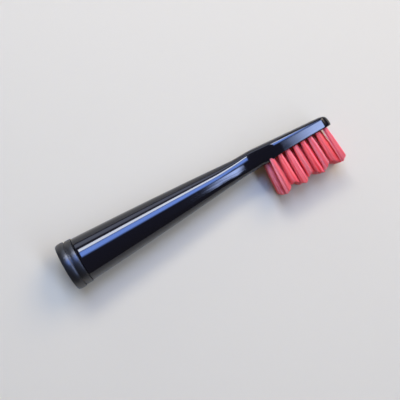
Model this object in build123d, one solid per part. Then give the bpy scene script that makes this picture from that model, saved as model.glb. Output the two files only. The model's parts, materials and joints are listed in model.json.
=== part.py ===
from build123d import *
from math import atan2, cos, degrees, pi, radians, sin, sqrt
import os

# Electric toothbrush head. All sizes are in millimetres.
# It is drawn along +X, from its seat on the handle at x = 0 to the tip, with the bristles
# pointing to -Y and the width of the head along Z. The last step lays it on its side.

# Overall
total_length = 81.5

# Base ring, pressed on the lower end of the stem
ring_length = 4.5
ring_proud = 0.5
ring_barrel = 0.14
ring_lower_band = 2.4
ring_groove_width = 0.4
ring_groove_depth = 0.3
ring_upper_proud = 0.22
ring_lip = 0.8
ring_mouth_step = 0.2
ring_edge_round = 0.35
ring_top_round = 0.15
ring_fit_clearance = 0.02
seam_gap = 0.1

# Stem: a slightly bellied taper on a stepped spigot
stem_base_radius = 6.25
stem_belly = 0.18
stem_edge_round = 0.15
spigot_step = 0.75
spigot_wall = 0.9
neck_radius = 2.95
neck_from_tip = 29.0

# Neck and head, with lengths measured back from the tip
squaring_start_from_tip = 35.5
back_start_from_tip = 29.5
shoulder_start_from_tip = 26.5
back_end_from_tip = 22.0
rim_start_from_tip = 22.0
face_start_from_tip = 15.5
shoulder_end_from_tip = 15.5
head_half_width = 5.3
head_front = 2.25
head_front_blank = 5.0
back_at_shoulder = 2.86
back_at_tip = 1.04
head_squareness = 3.6
scoop_radius = 20.0
scoop_sweep = 60.0
tip_corner = 2.6
tip_back_round = 0.8

# Hollow of the stem
cavity_depth = 16.0
cavity_taper = 0.25
pocket_radius = 3.0
pocket_depth = 17.0

# Drive socket and its spring
socket_fit_clearance = 0.02
flange_radius = 3.9
flange_thickness = 1.0
socket_length = 16.5
guide_radius = 2.0
guide_length = 8.0
guide_lead_in = 0.3
seat_radius = 1.75
seat_flat = 1.2
seat_length = 8.0
slot_length = 7.0
slot_width = 2.4
spring_length = 6.4
spring_width = 2.2
spring_thickness = 0.25
spring_bow = 1.1
spring_clearance = 0.03

# Tufts
row_count = 4
tufts_in_row = 8
tuft_pitch = 2.42
row_spacing = 2.4
last_tuft_from_tip = 2.3
hole_radius = 0.8
hole_depth = 2.3
tuft_clearance = 0.02
tuft_tip_radius = 1.12
neck_lean = -1.5
tip_lean = 2.5
peak_length = 10.4
valley_length = 8.35
peak_pitch = 5.85
peak_count = 4
last_peak_from_tip = 2.55
anchor_thickness = 0.3
anchor_height = 1.2
anchor_seat = 0.4
trim_allowance = 0.5

# Places along the axis
stem_start = ring_length + seam_gap
neck_x = total_length - neck_from_tip
squaring_start = total_length - squaring_start_from_tip
back_start = total_length - back_start_from_tip
back_end = total_length - back_end_from_tip
shoulder_start = total_length - shoulder_start_from_tip
shoulder_end = total_length - shoulder_end_from_tip
rim_start = total_length - rim_start_from_tip
face_start = total_length - face_start_from_tip
tip_round_start = total_length - tip_corner

# Radii that follow from the stem
ring_band_radius = stem_base_radius + ring_proud - ring_barrel
ring_radius = stem_base_radius + ring_proud
ring_upper_radius = stem_base_radius + ring_upper_proud
spigot_radius = stem_base_radius - spigot_step
cavity_mouth_radius = spigot_radius - spigot_wall

# Places of the socket in the stem
flange_start = ring_lip + cavity_depth - flange_thickness
pocket_start = ring_lip + cavity_depth
seat_start = flange_start + guide_length
tuft_root_radius = hole_radius - tuft_clearance
anchor_width = 2 * sqrt(hole_radius**2 - (anchor_thickness / 2) ** 2) - 2 * tuft_clearance

# Numbers of points and stations that draw the smooth forms
section_points = 36
stem_stations = 6
neck_stations = 20
tip_stations = 6
resting_steps = 4
beyond = 5.0


def blend(first, second, place, start, end):
    """Ease from the first value to the second between two places."""
    share = min(max((place - start) / (end - start), 0.0), 1.0)
    return first + (second - first) * share * share * (3 - 2 * share)


def stem_radius_at(x):
    """Radius of the bellied taper at a place on the axis."""
    share = (x - stem_start) / (neck_x - stem_start)
    taper = stem_base_radius + (neck_radius - stem_base_radius) * share
    return taper + 4 * stem_belly * share * (1 - share)


def back_line_at(x):
    """Distance of the head's straight back behind the axis."""
    share = (x - back_end) / (total_length - back_end)
    return back_at_shoulder + (back_at_tip - back_at_shoulder) * share


def section(x, tip_angle=0.0):
    """Closed outline across the axis: round on the stem, squarer on the head."""
    radius = stem_radius_at(min(x, shoulder_start))
    width = blend(radius, head_half_width, x, shoulder_start, shoulder_end)
    back = blend(stem_radius_at(x), back_line_at(x), x, back_start, back_end)
    front = blend(radius, head_front_blank, x, rim_start, shoulder_end)
    power = blend(2.0, head_squareness, x, squaring_start, shoulder_end)
    shrink = 1 - cos(radians(tip_angle))
    width -= tip_corner * shrink
    back -= tip_back_round * shrink
    points = []
    for index in range(section_points):
        turn = 2 * pi * (index + 0.5) / section_points
        reach = (abs(cos(turn)) ** power + abs(sin(turn)) ** power) ** (-1 / power)
        depth = back if sin(turn) > 0 else front
        points.append((x, depth * reach * sin(turn), width * reach * cos(turn)))
    steps = [index / section_points for index in range(section_points + 1)]
    return Wire([Edge.make_spline(points, periodic=True, parameters=steps)])


def turned(points_and_arcs):
    """Solid of revolution about the brush axis, from lines and arcs drawn in order."""
    return revolve(make_face(points_and_arcs), Axis.X)


def outer_form():
    """Stem, neck and head as one form, with the flat bristle face."""
    stem_span = squaring_start - stem_start
    neck_span = shoulder_end - squaring_start
    places = [stem_start + stem_span * index / stem_stations for index in range(stem_stations)]
    places += [squaring_start + neck_span * index / neck_stations for index in range(neck_stations + 1)]
    wires = [section(place) for place in places]
    for index in range(tip_stations + 1):
        angle = 90 * index / tip_stations
        wires.append(section(total_length - tip_corner * (1 - sin(radians(angle))), angle))
    blank = Solid.make_loft(wires, ruled=True)
    base_edge = blank.edges().sort_by(Axis.X)[0]
    return fillet(base_edge, stem_edge_round) - bristle_face_cut()


def face_depth_at(x):
    """Depth of the bristle face below the axis, on the flat or in the scoop."""
    behind = max(face_start - x, 0.0)
    return head_front + scoop_radius - sqrt(scoop_radius**2 - behind**2)


def bristle_face_cut():
    """Tool that makes the flat bristle face and its scooped run-out on the neck."""
    run_out = radians(scoop_sweep)
    scoop_end = (face_start - scoop_radius * sin(run_out), -head_front - scoop_radius * (1 - cos(run_out)))
    half_out = run_out / 2
    scoop_mid = (face_start - scoop_radius * sin(half_out), -head_front - scoop_radius * (1 - cos(half_out)))
    far = total_length + beyond
    outline = [
        Line((far, -head_front), (face_start, -head_front)),
        ThreePointArc((face_start, -head_front), scoop_mid, scoop_end),
        Line(scoop_end, (far, scoop_end[1])),
        Line((far, scoop_end[1]), (far, -head_front)),
    ]
    return extrude(make_face(outline), head_half_width + beyond, both=True)


def stem_hollow():
    """Tapered cavity that is open at the base, and the round pocket for the socket."""
    end = pocket_start + pocket_depth
    inner = cavity_mouth_radius - cavity_taper
    return turned(
        Polyline(
            (ring_lip - beyond, 0),
            (ring_lip - beyond, cavity_mouth_radius),
            (ring_lip, cavity_mouth_radius),
            (pocket_start, inner),
            (pocket_start, pocket_radius),
            (end, pocket_radius),
            (end, 0),
            close=True,
        )
    )


def tuft_places():
    """Row, number, place along the axis and place across of every tuft."""
    for row in range(row_count):
        across = (row - (row_count - 1) / 2) * row_spacing
        shift = 0.0 if row in (0, row_count - 1) else tuft_pitch / 2
        for number in range(tufts_in_row):
            behind = (tufts_in_row - 1 - number) * tuft_pitch
            yield row + 1, number + 1, total_length - last_tuft_from_tip - behind - shift, across


def lean_at(x):
    """Lean of a tuft towards the tip, in degrees, from the neck end to the tip end."""
    end = total_length - last_tuft_from_tip
    span = tufts_in_row * tuft_pitch
    return tip_lean + (neck_lean - tip_lean) * (end - x) / span


def at_hole(x, across):
    """Place in the mouth of a hole, with Y along the lean of its tuft into the head."""
    return Pos(x, -head_front, across) * Rot(0, 0, lean_at(x))


def tuft_hole(x, across):
    """Blind hole in the bristle face, which leans with its tuft."""
    length = hole_depth + beyond
    drill = Rot(90, 0, 0) * Cylinder(hole_radius, length)
    return at_hole(x, across) * Pos(0, hole_depth - length / 2, 0) * drill


def brush_body():
    """Black moulding: spigot, hollow stem, neck and head."""
    spigot = turned(
        Polyline(
            (ring_lip, 0),
            (ring_lip, spigot_radius),
            (stem_start + beyond, spigot_radius),
            (stem_start + beyond, 0),
            close=True,
        )
    )
    body = outer_form() + spigot - stem_hollow()
    return body - [tuft_hole(x, across) for _, _, x, across in tuft_places()]


def base_ring():
    """Ring with a barrelled lower band, a groove and a plain upper band."""
    groove_radius = ring_upper_radius - ring_groove_depth
    groove_end = ring_lower_band + ring_groove_width
    bore = spigot_radius + ring_fit_clearance
    mouth = cavity_mouth_radius + ring_mouth_step
    corner = ring_edge_round * (1 - cos(radians(45)))
    top_corner = ring_top_round * (1 - cos(radians(45)))
    outline = [
        Line((0, mouth), (0, ring_band_radius - ring_edge_round)),
        ThreePointArc(
            (0, ring_band_radius - ring_edge_round),
            (corner, ring_band_radius - corner),
            (ring_edge_round, ring_band_radius),
        ),
        ThreePointArc(
            (ring_edge_round, ring_band_radius),
            ((ring_edge_round + ring_lower_band) / 2, ring_radius),
            (ring_lower_band, ring_band_radius),
        ),
        Polyline(
            (ring_lower_band, ring_band_radius),
            (ring_lower_band, groove_radius),
            (groove_end, groove_radius),
            (groove_end, ring_upper_radius),
            (ring_length - ring_top_round, ring_upper_radius),
        ),
        ThreePointArc(
            (ring_length - ring_top_round, ring_upper_radius),
            (ring_length - top_corner, ring_upper_radius - top_corner),
            (ring_length, ring_upper_radius - ring_top_round),
        ),
        Polyline(
            (ring_length, ring_upper_radius - ring_top_round),
            (ring_length, bore),
            (ring_lip, bore),
            (ring_lip, mouth),
            (0, mouth),
        ),
    ]
    return turned(outline)


def drive_socket():
    """Flanged sleeve with a round guide bore, a D-shaped seat and a slot for the spring."""
    end = flange_start + flange_thickness + socket_length
    barrel = pocket_radius - socket_fit_clearance
    seat_end = seat_start + seat_length
    sleeve = turned(
        Polyline(
            (flange_start, guide_radius + guide_lead_in),
            (flange_start, flange_radius),
            (pocket_start, flange_radius),
            (pocket_start, barrel),
            (end, barrel),
            (end, 0),
            (seat_start, 0),
            (seat_start, guide_radius),
            (flange_start + guide_lead_in, guide_radius),
            close=True,
        )
    )
    middle = (seat_start + seat_end) / 2
    seat = Pos(middle, 0, 0) * Rot(0, 90, 0) * Cylinder(seat_radius, seat_length)
    flat_side = Pos(middle, seat_flat + seat_radius, 0) * Box(seat_length, 2 * seat_radius, 2 * seat_radius)
    slot = Pos(middle, pocket_radius, 0) * Box(slot_length, 2 * (pocket_radius - seat_flat), slot_width)
    return sleeve - (seat - flat_side) - slot


def retaining_spring():
    """Bowed leaf that lies in the slot, with its ends against the pocket's wall."""
    middle = seat_start + seat_length / 2
    wall = sqrt(pocket_radius**2 - (spring_width / 2) ** 2)
    ends = wall - spring_clearance - spring_thickness
    half = spring_length / 2
    bow = ThreePointArc((middle - half, ends), (middle, ends - spring_bow), (middle + half, ends))
    return extrude(trace(bow, spring_thickness), spring_width / 2, both=True)


def anchor(x, across, width):
    """Flat anchor of a given width, just above the bottom of its hole."""
    middle = hole_depth - anchor_seat - anchor_height / 2
    return at_hole(x, across) * Pos(0, middle, 0) * Box(width, anchor_height, anchor_thickness)


def trim_cut():
    """Tool with the zigzag outline that the bristle ends are trimmed to."""
    far = -head_front - peak_length - beyond
    first = total_length - last_peak_from_tip - (peak_count - 1) * peak_pitch
    points = [(first - peak_pitch / 2, -head_front - valley_length)]
    for number in range(peak_count):
        peak = first + number * peak_pitch
        points.append((peak, -head_front - peak_length))
        points.append((peak + peak_pitch / 2, -head_front - valley_length))
    points += [(points[-1][0], far), (points[0][0], far)]
    return extrude(make_face(Polyline(*points, close=True)), head_half_width + beyond, both=True)


def tuft(x, across, trim):
    """Bundle of filaments: straight in its hole, folded round its anchor, then flared and trimmed."""
    root = face_depth_at(x - hole_radius) - head_front
    end = peak_length + trim_allowance
    flare = (tuft_tip_radius - tuft_root_radius) / (peak_length - root)
    outline = Polyline(
        (0, hole_depth),
        (tuft_root_radius, hole_depth),
        (tuft_root_radius, -root),
        (tuft_root_radius + flare * (end - root), -end),
        (0, -end),
        close=True,
    )
    blank = revolve(make_face(outline), Axis.Y)
    fold = anchor(x, across, 2 * hole_radius + beyond)
    return at_hole(x, across) * blank - fold - trim


def build_nodes():
    """Every piece by its node name, still along the brush axis."""
    nodes = {
        "brush_body": brush_body(),
        "base_ring": base_ring(),
        "drive_socket": drive_socket(),
        "retaining_spring": retaining_spring(),
        "tuft_anchors": Compound([anchor(x, across, anchor_width) for _, _, x, across in tuft_places()]),
    }
    trim = trim_cut()
    for row, number, x, across in tuft_places():
        nodes[f"tuft_row{row}_{number}"] = tuft(x, across, trim)
    return nodes


def lowest(shape):
    """Height of the lowest point of a shape."""
    return shape.bounding_box().min.Z


def resting_place(nodes):
    """Placement that lays the brush on its ring, the side of its head and its bristle ends."""
    side = make_face(section(tip_round_start)) - bristle_face_cut()
    last_tuft = nodes[f"tuft_row1_{tufts_in_row}"]
    tilt = 0.0
    for _ in range(resting_steps):
        drop = lowest(Rot(tilt, 0, 0) * last_tuft) - lowest(Rot(tilt, 0, 0) * side)
        tilt += degrees(atan2(drop, peak_length))
    roll = Rot(tilt, 0, 0)
    fall = lowest(roll * side) - lowest(roll * nodes["base_ring"])
    pitch = Rot(0, degrees(atan2(fall, tip_round_start - ring_lower_band / 2)), 0)
    box = Compound([pitch * roll * node for node in nodes.values()]).bounding_box()
    middle = box.center()
    return Pos(-middle.X, -middle.Y, -box.min.Z) * pitch * roll


os.makedirs("parts", exist_ok=True)
pieces = build_nodes()
lay_down = resting_place(pieces)
for name, piece in pieces.items():
    export_step(lay_down * piece, f"parts/{name}.step")
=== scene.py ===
import json
import logging
import math
from collections.abc import Callable, Iterator, Sequence
from contextlib import contextmanager
from dataclasses import dataclass
from enum import Enum

import bmesh
import bpy
import numpy as np
from mathutils import Matrix, Vector


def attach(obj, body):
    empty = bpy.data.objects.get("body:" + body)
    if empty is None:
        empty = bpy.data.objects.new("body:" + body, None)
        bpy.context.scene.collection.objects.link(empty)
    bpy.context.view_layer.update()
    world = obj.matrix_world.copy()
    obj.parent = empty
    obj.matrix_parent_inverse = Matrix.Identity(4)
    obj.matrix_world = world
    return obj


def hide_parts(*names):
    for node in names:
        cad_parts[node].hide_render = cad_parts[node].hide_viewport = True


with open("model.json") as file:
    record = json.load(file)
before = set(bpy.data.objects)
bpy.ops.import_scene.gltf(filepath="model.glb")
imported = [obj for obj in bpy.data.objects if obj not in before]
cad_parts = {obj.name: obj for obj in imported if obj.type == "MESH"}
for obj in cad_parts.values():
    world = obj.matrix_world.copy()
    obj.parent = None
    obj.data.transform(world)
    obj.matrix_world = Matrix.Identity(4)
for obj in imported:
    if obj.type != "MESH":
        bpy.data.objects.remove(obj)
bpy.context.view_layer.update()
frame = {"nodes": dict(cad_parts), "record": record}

LOG = logging.getLogger("toothbrush_head")
BODY = "root"
MM = 0.001
# Tolerances for points that are merged or counted as lying in one place.
WELD = 0.002 * MM
SAME_PLACE = 0.001 * MM
NEAR_PLACE = 0.01 * MM
# Least part of a face's normal along a direction that the face is said to look in.
FACING = 0.9
# Edges of moulded pieces that are sharper than this stay sharp.
CREASE_DEGREES = 32
ROUND_SEGMENTS = 3
# Power per square metre that gives an area lamp's face a radiance of 1.
LAMP_POWER = 4


class Pick(Enum):
    """What an edit-mode selection holds."""

    VERTS = "VERT"
    EDGES = "EDGE"
    FACES = "FACE"


# Modelling helpers


def linear(colour: str) -> tuple[float, float, float, float]:
    """Turn an sRGB hex colour into the linear values that shaders take.

    Args:
        colour: The colour as "#rrggbb".

    Returns:
        Linear red, green and blue, and an alpha of 1.
    """
    # The numbers are those of the sRGB standard.
    parts = [int(colour[i : i + 2], 16) / 255 for i in (1, 3, 5)]
    values = [c / 12.92 if c <= 0.04045 else ((c + 0.055) / 1.055) ** 2.4 for c in parts]
    return values[0], values[1], values[2], 1.0


def only(piece: bpy.types.Object) -> None:
    """Leave one object selected and active.

    Args:
        piece: The object to select.
    """
    bpy.ops.object.select_all(action="DESELECT")
    piece.select_set(True)
    bpy.context.view_layer.objects.active = piece


def named(name: str) -> bpy.types.Object:
    """Name the primitive that was just added, and put its place into its mesh.

    Args:
        name: Name of the new piece.

    Returns:
        The new object, at the origin.
    """
    piece = bpy.context.active_object
    piece.name = name
    piece.data.name = name
    only(piece)
    bpy.ops.object.transform_apply(location=True, rotation=True, scale=True)
    return piece


@contextmanager
def editing(piece: bpy.types.Object) -> Iterator[None]:
    """Open one object in edit mode with all of it selected, and close it afterwards.

    Args:
        piece: The mesh object to edit.
    """
    only(piece)
    bpy.ops.object.mode_set(mode="EDIT")
    bpy.ops.mesh.select_mode(type=Pick.VERTS.value)
    bpy.ops.mesh.select_all(action="SELECT")
    yield
    bpy.ops.object.mode_set(mode="OBJECT")


def pick(kind: Pick, test: Callable[..., bool]) -> None:
    """Select the elements of the mesh in edit mode that pass a test.

    Args:
        kind: Whether vertices, edges or faces are selected.
        test: Takes a bmesh element and says whether it is selected.
    """
    data = bpy.context.edit_object.data
    bpy.ops.mesh.select_mode(type=kind.value)
    bpy.ops.mesh.select_all(action="DESELECT")
    mesh = bmesh.from_edit_mesh(data)
    elements = {Pick.VERTS: mesh.verts, Pick.EDGES: mesh.edges, Pick.FACES: mesh.faces}[kind]
    for element in elements:
        if test(element):
            element.select_set(True)
    mesh.select_flush_mode()
    bmesh.update_edit_mesh(data)


def on_loop(x: float, radius: float) -> Callable[[bmesh.types.BMEdge], bool]:
    """Make a test for the edges of one loop round the X axis.

    Args:
        x: Where the loop is, in millimetres.
        radius: Its radius.

    Returns:
        A test that takes an edge.
    """
    return lambda edge: all(
        abs(vertex.co.x - x * MM) < SAME_PLACE
        and abs(math.hypot(vertex.co.y, vertex.co.z) - radius * MM) < NEAR_PLACE
        for vertex in edge.verts
    )


def turn_profile(name: str, profile: Sequence[tuple[float, float]], points: int) -> bpy.types.Object:
    """Model a turned shell: a circle, extruded and resized loop by loop along X.

    Args:
        name: Name of the new piece.
        profile: Place along the axis and radius of each loop, in millimetres.
        points: Number of points round each loop.

    Returns:
        The shell, open at its first and last loop.
    """
    place, radius = profile[0]
    bpy.ops.mesh.primitive_circle_add(
        vertices=points, radius=radius * MM, location=(place * MM, 0, 0), rotation=(0, math.pi / 2, 0)
    )
    shell = named(name)
    with editing(shell):
        for place_next, radius_next in profile[1:]:
            extrude_loop(place, radius, place_next, radius_next)
            place, radius = place_next, radius_next
    return shell


def extrude_loop(place: float, radius: float, place_next: float, radius_next: float) -> None:
    """Extrude the selected loop to a new place on the axis and a new radius.

    Args:
        place: Where the loop is along X, in millimetres.
        radius: Its radius there.
        place_next: Where the new loop goes.
        radius_next: Its radius there.
    """
    bpy.ops.mesh.extrude_region_move(TRANSFORM_OT_translate={"value": ((place_next - place) * MM, 0, 0)})
    share = radius_next / radius
    bpy.ops.transform.resize(value=(1, share, share), center_override=(place_next * MM, 0, 0))


def face_outwards() -> None:
    """Turn all faces of the mesh in edit mode outwards."""
    bpy.ops.mesh.select_all(action="SELECT")
    bpy.ops.mesh.normals_make_consistent(inside=False)


def round_edges(size: float) -> None:
    """Round the selected edges to a radius in millimetres."""
    bpy.ops.mesh.bevel(offset=size * MM, segments=ROUND_SEGMENTS, profile=0.5)


def cut(piece: bpy.types.Object, tool: bpy.types.Object) -> None:
    """Cut a tool out of a piece and throw the tool away.

    Args:
        piece: The piece that is cut.
        tool: The closed shape that is taken out of it.
    """
    only(piece)
    modifier = piece.modifiers.new("cut", "BOOLEAN")
    modifier.operation = "DIFFERENCE"
    modifier.solver = "EXACT"
    modifier.object = tool
    bpy.ops.object.modifier_apply(modifier=modifier.name)
    bpy.data.objects.remove(tool)


def smooth(piece: bpy.types.Object, degrees: float) -> None:
    """Shade a piece smooth, apart from edges sharper than an angle."""
    only(piece)
    bpy.ops.object.shade_smooth_by_angle(angle=math.radians(degrees))


# Where the brush lies


@dataclass(frozen=True)
class BrushFrame:
    """The brush's own axes in the row frame: X to the tip, Y to its back, Z across.

    Attributes:
        matrix: Takes a point on the upright brush to where it lies.
    """

    matrix: Matrix

    @classmethod
    def from_mounts(cls, mounts: Sequence[dict]) -> "BrushFrame":
        """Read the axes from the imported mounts.

        Args:
            mounts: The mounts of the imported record.

        Returns:
            The frame of the brush as it lies.
        """
        by_name = {mount["name"]: mount for mount in mounts}
        along = -Vector(by_name["drive_bore"]["axis"]).normalized()
        on_axis = Vector(by_name["drive_bore"]["pos_m"])
        seat = Vector(by_name["handle_seat"]["pos_m"])
        start = on_axis + along * (seat - on_axis).dot(along)
        back = (seat - start).normalized()
        matrix = Matrix((along, back, along.cross(back))).transposed().to_4x4()
        matrix.translation = start
        return cls(matrix)

    def lay(self, piece: bpy.types.Object) -> None:
        """Lay an upright piece down, with its place in its mesh.

        Args:
            piece: The piece, modelled along X.
        """
        piece.matrix_world = self.matrix
        only(piece)
        bpy.ops.object.transform_apply(location=True, rotation=True, scale=True)


# Finishes


def add_node(tree: bpy.types.NodeTree, kind: str, settings: dict, links: dict) -> bpy.types.Node:
    """Add one shader node with its settings and the links into it.

    Args:
        tree: The node tree of a material, a lamp or the world.
        kind: The node's type name.
        settings: Attribute or input names with their values.
        links: Input names or numbers with the output sockets that feed them.

    Returns:
        The new node.
    """
    node = tree.nodes.new(kind)
    for key, value in settings.items():
        if key in node.inputs:
            node.inputs[key].default_value = value
        else:
            setattr(node, key, value)
    for key, source in links.items():
        tree.links.new(source, node.inputs[key])
    return node


def new_material(name: str) -> tuple[bpy.types.Material, bpy.types.NodeTree, bpy.types.Node]:
    """Make a new material with its plain shader.

    Args:
        name: Name of the material.

    Returns:
        The material, its node tree and its Principled shader.
    """
    material = bpy.data.materials.new(name)
    material.use_nodes = True
    tree = material.node_tree
    return material, tree, tree.nodes["Principled BSDF"]


@dataclass(frozen=True)
class GlossBlack:
    """Black ABS from a polished mould: deep black, mirror-like, with faint ripples and handling haze.

    Attributes:
        colour: Colour of the plastic.
        ior: Refractive index of ABS.
        clean: Roughness where the surface is clean.
        hazed: Roughness where fingers have hazed it.
        haze_mm: Size of the hazed places.
        ripple_mm: Spacing of the mould's ripples.
        ripple_height_mm: Height of the ripples.
    """

    colour: str = "#0a0a11"
    ior: float = 1.54
    clean: float = 0.06
    hazed: float = 0.12
    haze_mm: float = 9.0
    ripple_mm: float = 2.2
    ripple_height_mm: float = 0.0012

    def make(self) -> bpy.types.Material:
        """Make the material.

        Returns:
            The new material.
        """
        material, tree, shader = new_material("gloss_black_abs")
        place = add_node(tree, "ShaderNodeTexCoord", {}, {}).outputs["Object"]
        haze = add_node(
            tree,
            "ShaderNodeTexNoise",
            {"Scale": 1 / (self.haze_mm * MM), "Detail": 4.0, "Roughness": 0.6},
            {"Vector": place},
        )
        rough = add_node(
            tree,
            "ShaderNodeMapRange",
            {"From Min": 0.35, "From Max": 0.75, "To Min": self.clean, "To Max": self.hazed},
            {"Value": haze.outputs["Fac"]},
        )
        ripple = add_node(
            tree, "ShaderNodeTexNoise", {"Scale": 1 / (self.ripple_mm * MM), "Detail": 1.0}, {"Vector": place}
        )
        bump = add_node(
            tree,
            "ShaderNodeBump",
            {"Strength": 1.0, "Distance": self.ripple_height_mm * MM},
            {"Height": ripple.outputs["Fac"]},
        )
        shader.inputs["Base Color"].default_value = linear(self.colour)
        shader.inputs["IOR"].default_value = self.ior
        tree.links.new(rough.outputs["Result"], shader.inputs["Roughness"])
        tree.links.new(bump.outputs["Normal"], shader.inputs["Normal"])
        return material


@dataclass(frozen=True)
class SatinBlack:
    """Black ABS from a spark-eroded mould: a fine even grain that spreads the highlight.

    Attributes:
        colour: Colour of the plastic.
        ior: Refractive index of ABS.
        gloss: Level of the highlight, a little over the neutral 0.5, for the glints of the grain.
        fine: Roughness of the worn crests.
        coarse: Roughness of the grain.
        grain_mm: Size of the grain, drawn coarser than the real 0.05 mm so that it shows.
        grain_height_mm: Height of the grain.
    """

    colour: str = "#0a0b0d"
    ior: float = 1.54
    gloss: float = 0.65
    fine: float = 0.3
    coarse: float = 0.42
    grain_mm: float = 0.16
    grain_height_mm: float = 0.006

    def make(self) -> bpy.types.Material:
        """Make the material.

        Returns:
            The new material.
        """
        material, tree, shader = new_material("satin_black_abs")
        place = add_node(tree, "ShaderNodeTexCoord", {}, {}).outputs["Object"]
        grain = add_node(
            tree, "ShaderNodeTexNoise", {"Scale": 1 / (self.grain_mm * MM), "Detail": 2.0}, {"Vector": place}
        )
        rough = add_node(
            tree,
            "ShaderNodeMapRange",
            {"From Min": 0.3, "From Max": 0.7, "To Min": self.fine, "To Max": self.coarse},
            {"Value": grain.outputs["Fac"]},
        )
        bump = add_node(
            tree,
            "ShaderNodeBump",
            {"Strength": 0.6, "Distance": self.grain_height_mm * MM},
            {"Height": grain.outputs["Fac"]},
        )
        shader.inputs["Base Color"].default_value = linear(self.colour)
        shader.inputs["IOR"].default_value = self.ior
        shader.inputs["Specular IOR Level"].default_value = self.gloss
        tree.links.new(rough.outputs["Result"], shader.inputs["Roughness"])
        tree.links.new(bump.outputs["Normal"], shader.inputs["Normal"])
        return material


@dataclass(frozen=True)
class DyedNylon:
    """Dyed polyamide filament: a clear red core that lets some light through, under a pale sheen.

    Attributes:
        deep: Colour of the deepest dyed filaments.
        pale: Colour of the palest filaments.
        ior: Refractive index of polyamide.
        sheen: Level of the highlight, raised for the many fine edges that the mesh leaves out.
        smooth: Roughness of the deepest dyed filaments.
        dull: Roughness of the palest filaments.
        clear: Share of the light that passes through the filament.
        clear_mm: How far red light goes inside.
        clear_colours: How far red, green and blue light go, as shares of that.
    """

    deep: str = "#ff1212"
    pale: str = "#ff8a82"
    ior: float = 1.53
    sheen: float = 1.0
    smooth: float = 0.42
    dull: float = 0.55
    clear: float = 0.08
    clear_mm: float = 0.4
    clear_colours: tuple[float, float, float] = (1.0, 0.25, 0.25)

    def make(self) -> bpy.types.Material:
        """Make the material.

        Returns:
            The new material.
        """
        material, tree, shader = new_material("dyed_red_nylon")
        tone = add_node(tree, "ShaderNodeAttribute", {"attribute_name": "tone"}, {}).outputs["Fac"]
        ramp = add_node(tree, "ShaderNodeValToRGB", {}, {"Fac": tone})
        ramp.color_ramp.elements[0].color = linear(self.deep)
        ramp.color_ramp.elements[1].color = linear(self.pale)
        rough = add_node(
            tree, "ShaderNodeMapRange", {"To Min": self.smooth, "To Max": self.dull}, {"Value": tone}
        )
        shader.inputs["IOR"].default_value = self.ior
        shader.inputs["Specular IOR Level"].default_value = self.sheen
        shader.inputs["Subsurface Weight"].default_value = self.clear
        shader.inputs["Subsurface Radius"].default_value = self.clear_colours
        shader.inputs["Subsurface Scale"].default_value = self.clear_mm * MM
        tree.links.new(ramp.outputs["Color"], shader.inputs["Base Color"])
        tree.links.new(rough.outputs["Result"], shader.inputs["Roughness"])
        return material


@dataclass(frozen=True)
class GreyAcetal:
    """Moulded grey acetal: a waxy, slightly uneven matt surface.

    Attributes:
        colour: Colour of the plastic.
        shaded: Colour of its darker places.
        ior: Refractive index of acetal.
        waxy: Roughness of its smoothest places.
        matt: Roughness of its dullest places.
        grain_mm: Size of the uneven places.
    """

    colour: str = "#85898d"
    shaded: str = "#74787c"
    ior: float = 1.48
    waxy: float = 0.4
    matt: float = 0.52
    grain_mm: float = 1.2

    def make(self) -> bpy.types.Material:
        """Make the material.

        Returns:
            The new material.
        """
        material, tree, shader = new_material("grey_acetal")
        place = add_node(tree, "ShaderNodeTexCoord", {}, {}).outputs["Object"]
        grain = add_node(
            tree, "ShaderNodeTexNoise", {"Scale": 1 / (self.grain_mm * MM), "Detail": 3.0}, {"Vector": place}
        )
        ramp = add_node(tree, "ShaderNodeValToRGB", {}, {"Fac": grain.outputs["Fac"]})
        ramp.color_ramp.elements[0].color = linear(self.shaded)
        ramp.color_ramp.elements[1].color = linear(self.colour)
        rough = add_node(
            tree,
            "ShaderNodeMapRange",
            {"To Min": self.waxy, "To Max": self.matt},
            {"Value": grain.outputs["Fac"]},
        )
        shader.inputs["IOR"].default_value = self.ior
        tree.links.new(ramp.outputs["Color"], shader.inputs["Base Color"])
        tree.links.new(rough.outputs["Result"], shader.inputs["Roughness"])
        return material


@dataclass(frozen=True)
class RolledMetal:
    """Rolled metal strip: a bright surface with fine lengthwise rolling marks.

    Attributes:
        name: Name of the material.
        colour: Colour of the metal.
        mark_mm: Spacing of the rolling marks, drawn coarser than real ones so that they show.
        mark_thinness: Width of a mark as a share of its length.
        bright: Roughness between the marks.
        worn: Roughness in the marks.
    """

    name: str
    colour: str
    mark_mm: float = 0.12
    mark_thinness: float = 0.05
    bright: float = 0.2
    worn: float = 0.38

    def make(self) -> bpy.types.Material:
        """Make the material.

        Returns:
            The new material.
        """
        material, tree, shader = new_material(self.name)
        place = add_node(tree, "ShaderNodeTexCoord", {}, {}).outputs["Object"]
        along = add_node(
            tree, "ShaderNodeMapping", {"Scale": (self.mark_thinness, 1.0, 1.0)}, {"Vector": place}
        )
        marks = add_node(
            tree,
            "ShaderNodeTexNoise",
            {"Scale": 1 / (self.mark_mm * MM), "Detail": 2.0},
            {"Vector": along.outputs["Vector"]},
        )
        rough = add_node(
            tree,
            "ShaderNodeMapRange",
            {"To Min": self.bright, "To Max": self.worn},
            {"Value": marks.outputs["Fac"]},
        )
        shader.inputs["Base Color"].default_value = linear(self.colour)
        shader.inputs["Metallic"].default_value = 1.0
        tree.links.new(rough.outputs["Result"], shader.inputs["Roughness"])
        return material


def dress(piece: bpy.types.Object, material: bpy.types.Material) -> None:
    """Give a new piece its finish, in a material slot of its own, and its body.

    Args:
        piece: The finished piece.
        material: Its finish.
    """
    piece.data.materials.clear()
    piece.data.materials.append(material)
    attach(piece, BODY)
    LOG.info("%s: %d faces", piece.name, len(piece.data.polygons))


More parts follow.
